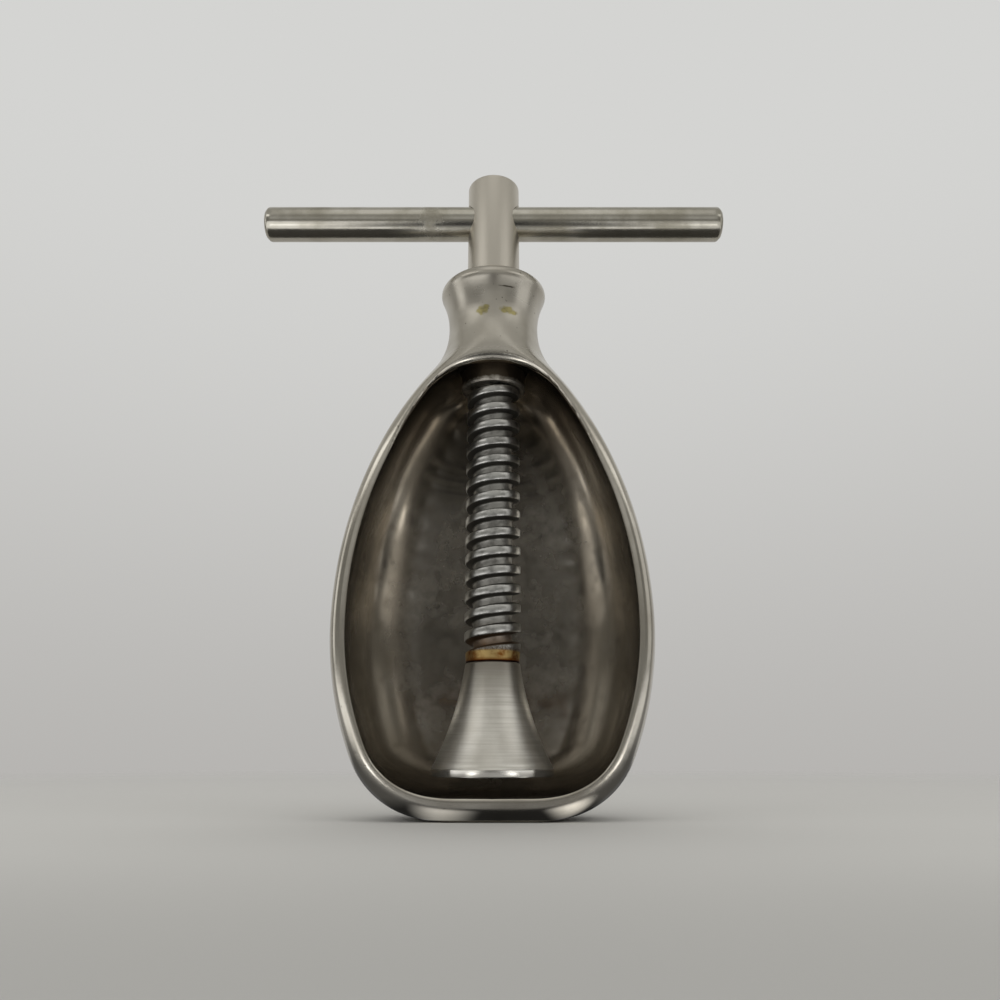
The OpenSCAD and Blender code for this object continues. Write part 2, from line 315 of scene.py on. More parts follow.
cutSteel = {
    "crest": "#bdbcb7",
    # painted shade on the thread's sloping sides; also the tone of the dark clouds
    "flank": "#595752",
    "root": "#a9a7a1",
    "shank": "#cbc5b9",
    "grease": "#6d4c22",
    "gold": "#b89e68",
    "rust": "#7d4a1c",
    "seam": "#35170a",
    "greased": (2, 8),       # mm above the lower end, over which the brown grease thins out
    "goldTop": (1.9, 2.3),   # the same for the gold, the rust and the dark seam
    "rustTop": (0.15, 0.75),
    "seamTop": (0.12, 0.28),
    "cloud": 1.6,
    "grit": 0.3,
    "gritDepth": 0.16,       # how far the grit shifts a colour's edge, as a share of the thread's depth
    "rough": (0.5, 0.32),    # of the grooves and of the crests
    "shankRough": 0.06,      # added on the plain shank
    "relief": (0.03, 0.4),
}


def makeCutSteel(spec, crestRadius, rootRadius, endHeight, threadTop):
    material, tree, shader, place = startMaterial("cutSteel")
    across, along, height = [addNode(tree, "SeparateXYZ", [place], axis) for axis in "XYZ"]
    flat = addNode(tree, "CombineXYZ", (across, along))
    radius = addNode(tree, "VectorMath", [flat], "Value", operation="LENGTH")
    cloud = addNode(tree, "TexNoise", {"Vector": place, "Scale": grain(spec["cloud"]), "Detail": 4})
    grit = addNode(tree, "TexNoise", {"Vector": place, "Scale": grain(spec["grit"]), "Detail": 3})
    depth = addNode(tree, "MapRange", (radius, rootRadius * mm, crestRadius * mm))
    shift = addNode(tree, "Math", (grit, 0.5), operation="SUBTRACT")
    depth = addNode(tree, "Math", (shift, spec["gritDepth"], depth), operation="MULTIPLY_ADD")
    flank = addNode(tree, "MapRange", (depth, 0.12, 0.22))
    crest = addNode(tree, "MapRange", (depth, 0.86, 0.95))
    dark = addNode(tree, "MapRange", (cloud, 0.46, 0.7, 0, 0.6))
    # painted shade: the sloping sides between root and crest take the dark flank colour
    colour = addNode(tree, "MixRGB", (flank, spec["root"], spec["flank"]))
    colour = addNode(tree, "MixRGB", (crest, colour, spec["crest"]))
    colour = addNode(tree, "MixRGB", (dark, colour, spec["flank"]))
    above = addNode(tree, "Math", (height, endHeight * mm), operation="SUBTRACT")
    low = addNode(tree, "MapRange", (above, *inMetres(spec["greased"]), 0.9, 0))
    inGroove = addNode(tree, "MapRange", (depth, 0.95, 0.7))
    inGroove = addNode(tree, "Math", (low, inGroove), operation="MULTIPLY")
    colour = addNode(tree, "MixRGB", (inGroove, colour, spec["grease"]))
    rusty = addNode(tree, "MapRange", (cloud, 0.45, 0.68))
    gold = addNode(tree, "MixRGB", (rusty, spec["gold"], spec["rust"]))
    for top, tone in (("goldTop", gold), ("rustTop", spec["rust"]), ("seamTop", spec["seam"])):
        under = addNode(tree, "MapRange", (above, *inMetres(spec[top]), 1, 0))
        colour = addNode(tree, "MixRGB", (under, colour, tone))
    isShank = addNode(tree, "Math", (height, threadTop * mm), operation="GREATER_THAN")
    colour = addNode(tree, "MixRGB", (isShank, colour, spec["shank"]))
    rough = addNode(tree, "MapRange", (crest, 0, 1, *spec["rough"]))
    rough = addNode(tree, "Math", (isShank, spec["shankRough"], rough), operation="MULTIPLY_ADD")
    finishMetal(tree, shader, colour, rough, grit, spec["relief"])
    return material


# Turned steel: bright, with the tool's fine rings left on it

turnedSteel = {
    "bright": "#e6e3db",
    "dull": "#cbc7bd",
    "darkTop": "#8d877c",
    "darkTopRise": (20, 28.5),   # mm, heights between which the foot darkens towards its top
    "cloud": 5,
    "ring": 0.25,              # mm, spacing of the rings, drawn coarser than the real ones
    "ringStretch": (0.02, 0.02, 1),
    "rough": (0.31, 0.41),
    "lipGloss": 0.2,           # how much smoother the lip is
    "metallic": 0.86,          # the rings scatter some of the light
    "relief": (0.02, 0.4),
}


def makeTurnedSteel(spec, lipHeight):
    material, tree, shader, place = startMaterial("turnedSteel")
    turned = addNode(tree, "Mapping", {"Vector": place, "Scale": spec["ringStretch"]})
    ring = addNode(tree, "TexNoise", {"Vector": turned, "Scale": grain(spec["ring"]), "Detail": 3})
    cloud = addNode(tree, "TexNoise", {"Vector": place, "Scale": grain(spec["cloud"]), "Detail": 4})
    tone = addNode(tree, "Math", (ring, cloud), operation="MULTIPLY")
    tone = addNode(tree, "MapRange", (tone, 0.15, 0.4))
    colour = addNode(tree, "MixRGB", (tone, spec["dull"], spec["bright"]))
    height = addNode(tree, "SeparateXYZ", [place], "Z")
    darkening = addNode(tree, "MapRange", (height, *inMetres(spec["darkTopRise"]), 0, 0.9))
    colour = addNode(tree, "MixRGB", (darkening, colour, spec["darkTop"]))
    isLip = addNode(tree, "Math", (height, lipHeight * mm), operation="LESS_THAN")
    rough = addNode(tree, "MapRange", (cloud, 0, 1, *spec["rough"]))
    rough = addNode(tree, "Math", (isLip, -spec["lipGloss"], rough), operation="MULTIPLY_ADD")
    ringed = addNode(tree, "Math", (1, isLip), operation="SUBTRACT")
    rings = addNode(tree, "Math", (ring, ringed), operation="MULTIPLY")
    finishMetal(tree, shader, colour, rough, rings, spec["relief"], spec["metallic"])
    return material


# Nickel plate on a drawn steel bar: bright, rubbed dull in places, pitted where the plate has lifted

platedBar = {
    "plate": "#bdb9ae",
    "dull": "#9c9788",
    "pitted": "#a5a092",
    "patch": ((-14.6, -3, 132.5), (2.6, 6, 4.5)),   # mm, middle and reach of the pitted patch
    "tear": 2,
    "cloud": 7,
    "grit": 0.45,
    "plateGrit": 0.25,       # how much of the pits shows on the sound plate
    "rough": (0.17, 0.27),
    "patchRough": 0.3,
    "relief": (0.06, 0.4),
}


def makePlatedBar(spec):
    material, tree, shader, place = startMaterial("nickelPlatedBar")
    cloud, grit, ragged = [
        addNode(tree, "TexNoise", {"Vector": place, "Scale": grain(spec[size]), "Detail": detail})
        for size, detail in (("cloud", 5), ("grit", 3), ("tear", 5))]
    dull = addNode(tree, "MapRange", (cloud, 0.42, 0.75))
    colour = addNode(tree, "MixRGB", (dull, spec["plate"], spec["dull"]))
    torn = ovalSpot(tree, place, ragged, *spec["patch"])
    patch = addNode(tree, "MapRange", (grit, 0.35, 0.6, 0.35, 1))
    patch = addNode(tree, "Math", (torn, patch), operation="MULTIPLY")
    colour = addNode(tree, "MixRGB", (patch, colour, spec["pitted"]))
    rough = addNode(tree, "MapRange", (cloud, 0.3, 0.75, *spec["rough"]))
    rough = addNode(tree, "Math", (patch, spec["patchRough"], rough), operation="MULTIPLY_ADD")
    pitted = addNode(tree, "Math", (patch, spec["plateGrit"]), operation="ADD")
    pits = addNode(tree, "Math", (grit, pitted), operation="MULTIPLY")
    finishMetal(tree, shader, colour, rough, pits, spec["relief"])
    return material


# Plain steel of the bush and the washer: dull grey, brown with old grease in clouds, and painted shade
# on the bush above its lower end

dullSteel = {
    "steel": "#b3aea4",
    "dirtShadeTone": "#4f473c",
    "unshadedEnd": 0.9,            # mm, the bush's lower end, left out of the painted shade
    "bushShadeEdge": (1.5, 2.2),   # where the painted shade comes in, as a multiple of that
    "cloud": 1.8,
    "rough": (0.3, 0.55),
    "relief": (0.05, 0.5),
}


def makeDullSteel(spec, bushEnd):
    material, tree, shader, place = startMaterial("dullSteel")
    cloud = addNode(tree, "TexNoise", {"Vector": place, "Scale": grain(spec["cloud"]), "Detail": 6})
    height = addNode(tree, "SeparateXYZ", [place], "Z")
    # painted shade: the bush darkens above its lower end, where it goes up under the roof
    torn = addNode(tree, "Math", (cloud, 2 * spec["unshadedEnd"] * mm, height), operation="MULTIPLY_ADD")
    edge = inMetres(bushEnd + times * spec["unshadedEnd"] for times in spec["bushShadeEdge"])
    above = addNode(tree, "MapRange", (torn, *edge))
    dirtAndShade = addNode(tree, "MapRange", (cloud, 0.45, 0.7))
    dirtAndShade = addNode(tree, "Math", (above, dirtAndShade), operation="MAXIMUM")
    colour = addNode(tree, "MixRGB", (dirtAndShade, spec["steel"], spec["dirtShadeTone"]))
    rough = addNode(tree, "MapRange", (cloud, 0, 1, *spec["rough"]))
    finishMetal(tree, shader, colour, rough, cloud, spec["relief"])
    return material


# Bowl: a pear-shaped casting, turned outline, flattened behind, opened in front by a flat cut with
# a rounded rim

bowl = {
    "bellyRadius": 32.7,
    "backReach": 25,       # from the screw axis to the outside of the back
    "bellyHeight": 37,
    "lowerArc": 68,
    "baseRadius": 11,
    "wall": 2.4,
    "floor": 4.2,
    "floorCorner": 14,
    "front": 10.9,         # distance of the open front from the screw axis
    "waistRadius": 10,
    "waistHeight": 104,
    "neckArc": 19.2,
    "neckTop": 115,
    "bead": 2.2,
    "boreRadius": 7,
    "guideRadius": 6.15,
    "guideHeight": 109,
    "roofRadius": 16.2,    # where the domed roof meets the wall
    "roofArc": 19.4,
    "boreChamfer": 0.5,
    "fineStep": 0.05,      # step of the outline before it is thinned out
    "rimStep": 1.1,        # mesh step along the rim
    "lipStep": 0.4,        # the same where the rim crosses the middle, up to the reach below
    "lipReach": 3.2,
    "columns": (0, 0.2, 0.45, 0.75, 1.1, 1.5, 2, 2.6, 3.3),  # mesh lines beside the rim
    "halfSteps": 64,       # mesh steps round half the bowl
    "rimCuts": 9,
    "baseRound": 2.4,      # rounding of the rim's outer edge at the base
    "sideRound": 1.7,      # the same at the sides
    "innerRound": 0.35,    # rounding of the rim's inner edge
    "archRound": 3.6,      # the same under the neck
    "neckRound": 2.2,      # rounding of the outer edge where the front runs out on the neck
    "baseZone": (0, 14),   # heights over which one rounding changes to the next
    "archZone": (70, 88),
    "neckZone": (84, 94),
    "rimSlack": 0.15,      # how far off its two faces a point may lie and still be rounded
    "neckEven": (88.5, 90.5, 92, 93.5),   # heights above which the front of the neck is evened out
    "neckEvenTop": 107,
    "neckEvenFront": 0.45,   # how far in front of the axis, as a share of the open front's distance
    "neckEvenSkin": 0.4,     # how far inside the waist the outer wall still counts
    "neckEvenTimes": 5,
    "rimSkin": 0.3,        # faces this near the flat front take the outer finish
    "waviness": 0.03,      # how uneven the cast and buffed wall is
    "waveSize": 14,
    "crease": 40,          # degrees, sharper edges stay crisp
}


def bowlOutline(b):
    # outside from the base up, over the collar, down the bore and back along the inside
    gap, wall, bead, chamfer = b["fineStep"], b["wall"], b["bead"], b["boreChamfer"]
    base, belly, bellyZ = b["baseRadius"], b["bellyRadius"], b["bellyHeight"]
    waist, waistZ, neckTop = b["waistRadius"], b["waistHeight"], b["neckTop"]
    lowerArc, neckArc, roofArc = b["lowerArc"], b["neckArc"], b["roofArc"]
    bore, guide, guideZ, roof = b["boreRadius"], b["guideRadius"], b["guideHeight"], b["roofRadius"]
    lowerX = belly - lowerArc
    corner = (lowerArc ** 2 - bellyZ ** 2 - (base - lowerX) ** 2) / (2 * (lowerArc - bellyZ))
    cornerEnd = angleOf(base - lowerX, corner - bellyZ)
    neckX = waist + neckArc
    rise = waistZ - bellyZ
    upperArc = (rise ** 2 + (neckX - belly) ** 2 - neckArc ** 2) / (2 * (belly - waist))
    upperX = belly - upperArc
    upperEnd = angleOf(neckX - upperX, rise)
    beadZ = neckTop - bead
    beadX = neckX - math.sqrt((neckArc + bead) ** 2 - (beadZ - waistZ) ** 2)
    neckEnd = angleOf(beadX - neckX, beadZ - waistZ)
    innerLower = lowerArc - wall
    innerX = upperX - wall
    floorZ = b["floor"] + b["floorCorner"]
    floorX = lowerX + math.sqrt((innerLower - b["floorCorner"]) ** 2 - (bellyZ - floorZ) ** 2)
    floorEnd = angleOf(floorX - lowerX, floorZ - bellyZ)
    wallEnd = math.degrees(math.acos((roof - innerX) / upperArc))
    roofStart = math.degrees(math.acos(roof / roofArc))
    roofEnd = math.degrees(math.acos(bore / roofArc))
    roofZ = bellyZ + upperArc * math.sin(math.radians(wallEnd)) \
        - roofArc * math.sin(math.radians(roofStart))
    outside = line((0, 0), (base, 0), gap) \
        + arc(base, corner, corner, -90, cornerEnd, gap) \
        + arc(lowerX, bellyZ, lowerArc, cornerEnd, 0, gap) \
        + arc(upperX, bellyZ, upperArc, 0, upperEnd, gap) \
        + arc(neckX, waistZ, neckArc, 180 + upperEnd, neckEnd, gap) \
        + arc(beadX, beadZ, bead, neckEnd - 180, 90, gap)
    neck = [(guide + chamfer, neckTop), (guide, neckTop - chamfer), (guide, guideZ), (bore, guideZ)]
    inside = arc(0, roofZ, roofArc, roofEnd, roofStart, gap) \
        + arc(innerX, bellyZ, upperArc, wallEnd, 0, gap) \
        + arc(lowerX, bellyZ, innerLower, 0, floorEnd, gap) \
        + arc(floorX, floorZ, b["floorCorner"], floorEnd, -90, gap) \
        + line((floorX, b["floor"]), (0, b["floor"]), gap)
    return evenRim(outside, b) + neck + evenRim(inside, b)


def evenRim(points, b):
    # of a fine outline, keeps the points that lie one step apart along the rim they make in front,
    # and those at which the rim crosses the middle
    front = b["front"]

    def cut(r):
        return math.sqrt(max(0, r * r - front * front))
    kept = [points[0]]
    gone = 0
    for (r0, z0), (r1, z1) in zip(points, points[1:]):
        gone += max(math.hypot(cut(r1) - cut(r0), z1 - z0), math.hypot(r1 - r0, z1 - z0))
        if (r0 - front) * (r1 - front) <= 0 and r0 != r1:
            kept.append((front, z0 + (z1 - z0) * (front - r0) / (r1 - r0)))
            gone = 0
        elif gone > (b["lipStep"] if abs(r1 - front) < b["lipReach"] else b["rimStep"]):
            kept.append((r1, z1))
            gone = 0
    if kept[-1] != points[-1]:
        kept.append(points[-1])
    return kept


def depthShare(b, z):
    # how deep the bowl is behind the screw axis, as a share of its half width at this height
    least = b["backReach"] / b["bellyRadius"]
    low = (b["bellyHeight"] + b["waistHeight"]) / 2
    t = ramp(z, low, b["waistHeight"])
    return least + (1 - least) * t * t * (3 - 2 * t)


def makeBowl(b):
    piece = drawOutline("bowl", bowlOutline(b))
    bpy.ops.mesh.spin(steps=b["halfSteps"], angle=math.pi, center=(0, 0, 0), axis=(0, 0, 1),
                      use_auto_merge=False)
    bpy.ops.object.mode_set(mode="OBJECT")
    openFront(piece, b)
    applyModifier(piece, "MIRROR", use_mirror_merge=True, merge_threshold=0.02 * mm)
    bpy.ops.object.mode_set(mode="EDIT")
    closeMesh()
    rim = bridgeRim(piece, b)
    roundRim(piece, rim, b)
    evenNeck(piece, b)
    for v in piece.data.vertices:
        isBore = math.hypot(v.co.x, v.co.y) < (b["boreRadius"] + touch) * mm
        if v.co.y > 0 and not isBore:
            v.co.y *= depthShare(b, v.co.z / mm)
    return piece


def openFront(piece, b):
    # below the waist each half ring is drawn back from the middle until it ends at the open front
    columns = b["columns"]
    last = len(columns) - 1
    side = 1 if max(v.co.x for v in piece.data.vertices) > 1 * mm else -1
    for v in piece.data.vertices:
        r = math.hypot(v.co.x, v.co.y) / mm
        if r < touch:
            continue
        step = round((0.5 + math.atan2(v.co.y, v.co.x * side) / math.pi) * b["halfSteps"])
        isCut = r > b["front"] and v.co.z < b["waistHeight"] * mm
        start = math.acos(b["front"] / r) if isCut else 0
        i = min(step, last)
        turn = start + min(columns[i] / r, i * math.pi / b["halfSteps"])
        turn += (math.pi - turn) * max(0, step - last) / (b["halfSteps"] - last)
        v.co.x = side * r * mm * math.sin(turn)
        v.co.y = -r * mm * math.cos(turn)


def bridgeRim(piece, b):
    # joins the outer and inner edges of the front by a flat rim, and notes where each edge runs:
    # its place, the way along its wall, the way across the rim and the rounding it is to get
    bpy.ops.object.mode_set(mode="EDIT")
    bpy.ops.mesh.select_mode(type="EDGE")
    bpy.ops.mesh.select_all(action="DESELECT")
    bpy.ops.mesh.select_non_manifold(extend=False, use_wire=False, use_multi_face=False,
                                     use_non_contiguous=False, use_verts=False)
    shape = bmesh.from_edit_mesh(piece.data)
    centre = Vector((0, -b["front"], b["bellyHeight"])) * mm
    rim = []
    for edge in shape.edges:
        if edge.select:
            middle = (edge.verts[0].co + edge.verts[1].co) / 2
            wall = edge.link_faces[0].normal
            along = (edge.verts[1].co - edge.verts[0].co).normalized()
            back = wall.cross(along).normalized()
            across = along.cross(Vector((0, 1, 0))).normalized()
            isOuter = wall.dot(middle - centre) > 0
            if back.y < 0:
                back.negate()
            if (across.dot(centre - middle) > 0) != isOuter:
                across.negate()
            z = middle.z / mm
            low = 1 - ramp(z, *b["baseZone"])
            outer = b["sideRound"] + (b["baseRound"] - b["sideRound"]) * low
            outer += (b["neckRound"] - outer) * ramp(z, *b["neckZone"])
            inner = b["innerRound"] + (b["archRound"] - b["innerRound"]) * ramp(z, *b["archZone"])
            rim.append((isOuter, middle, along, back, across, (outer if isOuter else inner) * mm))
    bpy.ops.mesh.bridge_edge_loops(number_cuts=b["rimCuts"], interpolation="LINEAR")
    closeMesh()
    return rim


def roundRim(piece, rim, b):
    # bends the wall and the rim beside each edge into an arc that is tangent to both
    for isOuter in (True, False):
        edges = [e[1:] for e in rim if e[0] == isOuter]
        tree = KDTree(len(edges))
        for i, edge in enumerate(edges):
            tree.insert(edge[0], i)
        tree.balance()
        for v in piece.data.vertices:
            place, along, back, across, radius = edges[tree.find(v.co)[1]]
            away = v.co - place
            away -= along * away.dot(along)
            skew = back.dot(across)
            p, q = away.dot(back), away.dot(across)
            a = (p - skew * q) / (1 - skew * skew)
            c = (q - skew * p) / (1 - skew * skew)
            far = max(a, c)
            near = b["rimSlack"] * max(mm, radius)
            if far > radius or min(abs(a), abs(c)) > near or min(a, c) < -near:
                continue
            turn = math.pi / 4 * (1 - max(0, far) / radius)
            flat = radius * (1 - math.sin(turn))
            deep = radius * (1 - math.cos(turn))
            if a >= c:
                v.co += back * (flat - a) + across * deep
            else:
                v.co += back * deep + across * (flat - c)


def evenNeck(piece, b):
    # evens out the wall where the open front runs out on the neck, more so higher up
    for low in b["neckEven"]:
        bpy.ops.object.mode_set(mode="EDIT")
        bpy.ops.mesh.select_mode(type="VERT")
        bpy.ops.mesh.select_all(action="DESELECT")
        bpy.ops.object.mode_set(mode="OBJECT")
        for v in piece.data.vertices:
            isOutside = math.hypot(v.co.x, v.co.y) > (b["waistRadius"] - b["neckEvenSkin"]) * mm
            isFront = v.co.y < -b["neckEvenFront"] * b["front"] * mm
            v.select = low * mm < v.co.z < b["neckEvenTop"] * mm and isFront and isOutside
        bpy.ops.object.mode_set(mode="EDIT")
        bpy.ops.mesh.vertices_smooth(factor=0.5, repeat=b["neckEvenTimes"])
        bpy.ops.object.mode_set(mode="OBJECT")


def paintInside(piece, b):
    # faces of the hollow, which look towards the axis or up from the floor, take the second material
    for face in piece.data.polygons:
        middle = face.center / mm
        r = math.hypot(middle.x, middle.y)
        towards = face.normal.x * middle.x + face.normal.y * middle.y
        isFloor = face.normal.z > 0.9 and middle.z < 2 * b["floor"]
        isHollow = b["floor"] - 0.2 < middle.z < b["waistHeight"] and r > b["boreRadius"] + 0.02
        isRim = middle.y < -b["front"] + b["rimSkin"]
        face.material_index = 1 if (isHollow and towards < -0.02 * r or isFloor) and not isRim else 0


nickelMaterial = makeNickel(wornNickel)
stainedMaterial = makeStainedNickel(stainedNickel)
bowlPiece = makeBowl(bowl)
waves = bpy.data.textures.new("castWaves", "CLOUDS")
waves.noise_scale = bowl["waveSize"] * mm
applyModifier(bowlPiece, "DISPLACE", texture=waves, texture_coords="GLOBAL",
              strength=bowl["waviness"] * mm, mid_level=0.5)
smooth(bowlPiece, bowl["crease"])
setIn(bowlPiece, "frame", "frame", "nickel_plated_brass", nickelMaterial, stainedMaterial)
paintInside(bowlPiece, bowl)


# Screw: coarse single-start thread, plain shank with a cross hole, and a riveted pin under the foot

screw = {
    "radius": 6,
    "crestRadius": 5.8,
    "rootRadius": 4,
    "pitch": 4,
    "grooveWidth": 2.3,
    "flank": 0.48,         # width of a thread's sloping side
    "crestRound": 0.3,
    "rootRound": 0.22,
    "turnSteps": 72,
    "runIn": 0.25,         # turns over which the groove reaches its depth
    "startTurn": 60 / 360,
    "endRadius": 5.45,
    "bottom": 29.5,
    "grooveStart": 30.1,
    "grooveEnd": 114.5,
    "shankStart": 114.7,
    "shankChamfer": 0.25,
    "shankRing": 125,      # a mesh ring between the neck and the cross hole
    "top": 142.5,
    "topRound": 0.8,
    "shankSteps": 96,
    "barHeight": 132.7,
    "holeRadius": 4.06,
    "holeFlare": 0.75,
    "holeSteps": 64,
    "pinRadius": 3,
    "headRadius": 4.1,
    "headBottom": 8.9,
    "headHeight": 1.4,
    "headRound": 1,
    "pinSteps": 64,
    "past": 1,             # how far a cutter or a joined piece runs past a face
    "play": 0.2,           # between the screw's thread and the bush's
    "crease": 35,
}


def makeThread(name, s, crest, root, groove, start, end, bottom, endRadius):
    # one pitch of the outline is screwed up the axis, its groove faded at both ends, then trimmed flat
    pitch = s["pitch"]
    soft = s["crestRound"]
    deep = s["rootRound"]
    flank = s["flank"]
    land = (pitch - groove) / 2
    slope = flank / (crest - root)
    side = [(crest, -land), (crest, -soft), (crest - 0.3 * soft, -0.3 * soft),
            (crest - soft, soft * slope), (root + deep, flank - deep * slope),
            (root + 0.3 * deep, flank + 0.1 * deep), (root, flank + deep)]
    profile = side + [(r, groove - z) for r, z in reversed(side)]
    lead = 1 + s["startTurn"] + 0.25   # turns below the groove's start, the outline being drawn at -Y
    first = start - lead * pitch
    turns = math.ceil((end - first) / pitch) + 2
    piece = drawOutline(name, [(r, z + first) for r, z in profile])
    bpy.ops.object.mode_set(mode="OBJECT")
    applyModifier(piece, "SCREW", angle=math.tau, screw_offset=pitch * mm, iterations=turns,
                  steps=s["turnSteps"], render_steps=s["turnSteps"], axis="Z", use_merge_vertices=True,
                  merge_threshold=0.001 * mm)
    last = (end - start - groove) / pitch
    for v in piece.data.vertices:
        r = math.hypot(v.co.x, v.co.y) / mm
        z = v.co.z / mm
        turn = (math.atan2(v.co.y, v.co.x) / math.tau + 0.25) % 1
        up = (z - first + land) / pitch - turn
        along = turn + math.floor(up + 1e-4) - lead
        fade = max(0, min(1, along / s["runIn"], (last - along) / s["runIn"]))
        swell = max(0, min(1, (z - start) / pitch))
        r = endRadius + (crest - endRadius) * swell - (crest - r) * fade
        flat = Vector((v.co.x, v.co.y, 0)).normalized() * r * mm
        v.co.x, v.co.y = flat.x, flat.y
    trim(bottom, end + pitch)
    return piece


def trim(bottom, top):
    # cuts the active object off flat at both heights
    bpy.ops.object.mode_set(mode="EDIT")
    for height, up in ((bottom, -1), (top, 1)):
        bpy.ops.mesh.select_all(action="SELECT")
        bpy.ops.mesh.bisect(plane_co=(0, 0, height * mm), plane_no=(0, 0, up), use_fill=True,
                            clear_outer=True, threshold=0.0005 * mm)
    closeMesh()


def makeScrew(s):
    piece = makeThread("screw", s, s["crestRadius"], s["rootRadius"], s["grooveWidth"], s["grooveStart"],
                       s["grooveEnd"], s["bottom"], s["endRadius"])
    radius, start, top = s["radius"], s["shankStart"], s["top"]
    chamfer, edge = s["shankChamfer"], s["topRound"]
    shank = turnOutline("shank", [
        (0, start), (radius - chamfer, start), (radius, start + chamfer), (radius, s["shankRing"]),
        *arc(radius - edge, top - edge, edge, 0, 90, 0.15), (0, top)], s["shankSteps"])
    past, hole, flare = s["past"], s["holeRadius"], s["holeFlare"]
    reach = radius + past
    wide = hole + 2 * flare
    narrow = reach - past - flare
    cutter = turnOutline("hole", [
        (0, -reach), (wide, -reach), (hole, -narrow), (hole, narrow), (wide, reach), (0, reach)],
        s["holeSteps"])
    layAlong(s["barHeight"])
    combine(shank, cutter, "DIFFERENCE")
    head, low, soft = s["headRadius"], s["headBottom"], s["headRound"]
    under = low + s["headHeight"]
    pin = turnOutline("pin", [
        (0, low), (head - soft, low), *arc(head - soft, low + soft, soft, -90, 0, 0.2), (head, under),
        (s["pinRadius"], under), (s["pinRadius"], s["bottom"] + past), (0, s["bottom"] + past)],
        s["pinSteps"])
    combine(piece, shank, "UNION")
    combine(piece, pin, "UNION")
    return piece


cutMaterial = makeCutSteel(cutSteel, screw["crestRadius"], screw["rootRadius"], screw["bottom"],
                           screw["shankStart"])
screwPiece = makeScrew(screw)
smooth(screwPiece, screw["crease"])
setIn(screwPiece, "spindle", "screw", "screw_steel", cutMaterial)


# Bush: threaded ring pressed into the neck, its lower end standing out of the roof

bush = {
    "radius": 7,
    "bottom": 89.08,
    "top": 109,
    "chamfer": 0.35,
    "stock": 1.5,          # how far the blank reaches inside the thread's crests
    "lead": 2,             # turns that the thread's cutter runs past both ends
    "steps": 96,
    "crease": 35,
}


def makeBush(b, s):
    bore = s["crestRadius"] - b["stock"]
    piece = turnOutline("bush", [
        (bore, b["bottom"]), (b["radius"] - b["chamfer"], b["bottom"]),
        (b["radius"], b["bottom"] + b["chamfer"]), (b["radius"], b["top"]), (bore, b["top"]),
        (bore, b["bottom"])], b["steps"])
    play = s["play"]
    crest = s["crestRadius"] + play
    below = math.floor((b["bottom"] - s["grooveStart"]) / s["pitch"]) - b["lead"]
    start = s["grooveStart"] + below * s["pitch"] + play
    end = b["top"] + b["lead"] * s["pitch"]
    cutter = makeThread("bushThread", s, crest, s["rootRadius"] + play, s["grooveWidth"] - 2 * play,
                        start, end, start - s["past"], crest)
    combine(piece, cutter, "DIFFERENCE")
    return piece


dullMaterial = makeDullSteel(dullSteel, bush["bottom"])
bushPiece = makeBush(bush, screw)
smooth(bushPiece, bush["crease"])
setIn(bushPiece, "thread_bush", "frame", "bush_steel", dullMaterial)


# Foot: turned, with a hollow flare, a straight lip and a recess for the riveted pin

foot = {
    "bottom": 7.7,
    "lipRadius": 12,
    "lip": 1.5,
    "top": 29.4,
    "topRadius": 5.55,
    "flare": 60,
    "edge": 0.25,
    "bore": 3.08,
    "recessRadius": 6.5,
    "recess": 4,
    "lipSoft": (0.1, 0.02),   # the lip's upper edge, broken inwards and upwards
    "flareStep": 0.6,
    "steps": 128,
    "crease": 30,
}


def makeFoot(f):
    # the flare is an arc of its given radius through the lip's edge and the top's edge
    lip = (f["lipRadius"], f["bottom"] + f["lip"])
    top = (f["topRadius"], f["top"] - f["edge"])
    half = ((top[0] - lip[0]) / 2, (top[1] - lip[1]) / 2)
    long = math.hypot(*half)
    away = math.sqrt(f["flare"] ** 2 - long ** 2)
    cx = lip[0] + half[0] + half[1] / long * away
    cz = lip[1] + half[1] - half[0] / long * away
    start = angleOf(lip[0] - cx, lip[1] - cz) % 360
    end = angleOf(top[0] - cx, top[1] - cz) % 360
    edge, bottom, wide, recess = f["edge"], f["bottom"], f["lipRadius"], f["recessRadius"]
    roof = bottom + f["recess"]
    inwards, upwards = f["lipSoft"]
    return turnOutline("foot", [
        (f["bore"], roof), (recess, roof), (recess, bottom + edge), (recess + edge, bottom),
        (wide - edge, bottom), *arc(wide - edge, bottom + edge, edge, -90, 0, 0.1),
        (wide, lip[1] - inwards), (wide - inwards, lip[1] + upwards),
        *arc(cx, cz, f["flare"], start, end, f["flareStep"])[1:],
        (f["topRadius"] - edge, f["top"]), (f["bore"], f["top"]), (f["bore"], roof)], f["steps"])


turnedMaterial = makeTurnedSteel(turnedSteel, foot["bottom"] + foot["lip"])
footPiece = makeFoot(foot)
smooth(footPiece, foot["crease"])
setIn(footPiece, "pressure_foot", "foot", "turned_steel", turnedMaterial)


# Washer under the riveted end of the pin

washer = {
    "bore": 3.08,
    "radius": 6,
    "bottom": 10.4,
    "thick": 1.2,
    "edge": 0.2,
    "steps": 72,
    "crease": 32,
}


def makeWasher(w):
    e = w["edge"]
    top = w["bottom"] + w["thick"]
    return turnOutline("washer", [
        (w["bore"], w["bottom"] + e), (w["bore"] + e, w["bottom"]), (w["radius"] - e, w["bottom"]),
        (w["radius"], w["bottom"] + e), (w["radius"], top - e), (w["radius"] - e, top),
        (w["bore"] + e, top), (w["bore"], top - e), (w["bore"], w["bottom"] + e)],
        w["steps"])


washerPiece = makeWasher(washer)
smooth(washerPiece, washer["crease"])
setIn(washerPiece, "foot_washer", "screw", "washer_steel", dullMaterial)


# Handle bar: plain round bar through the head of the screw

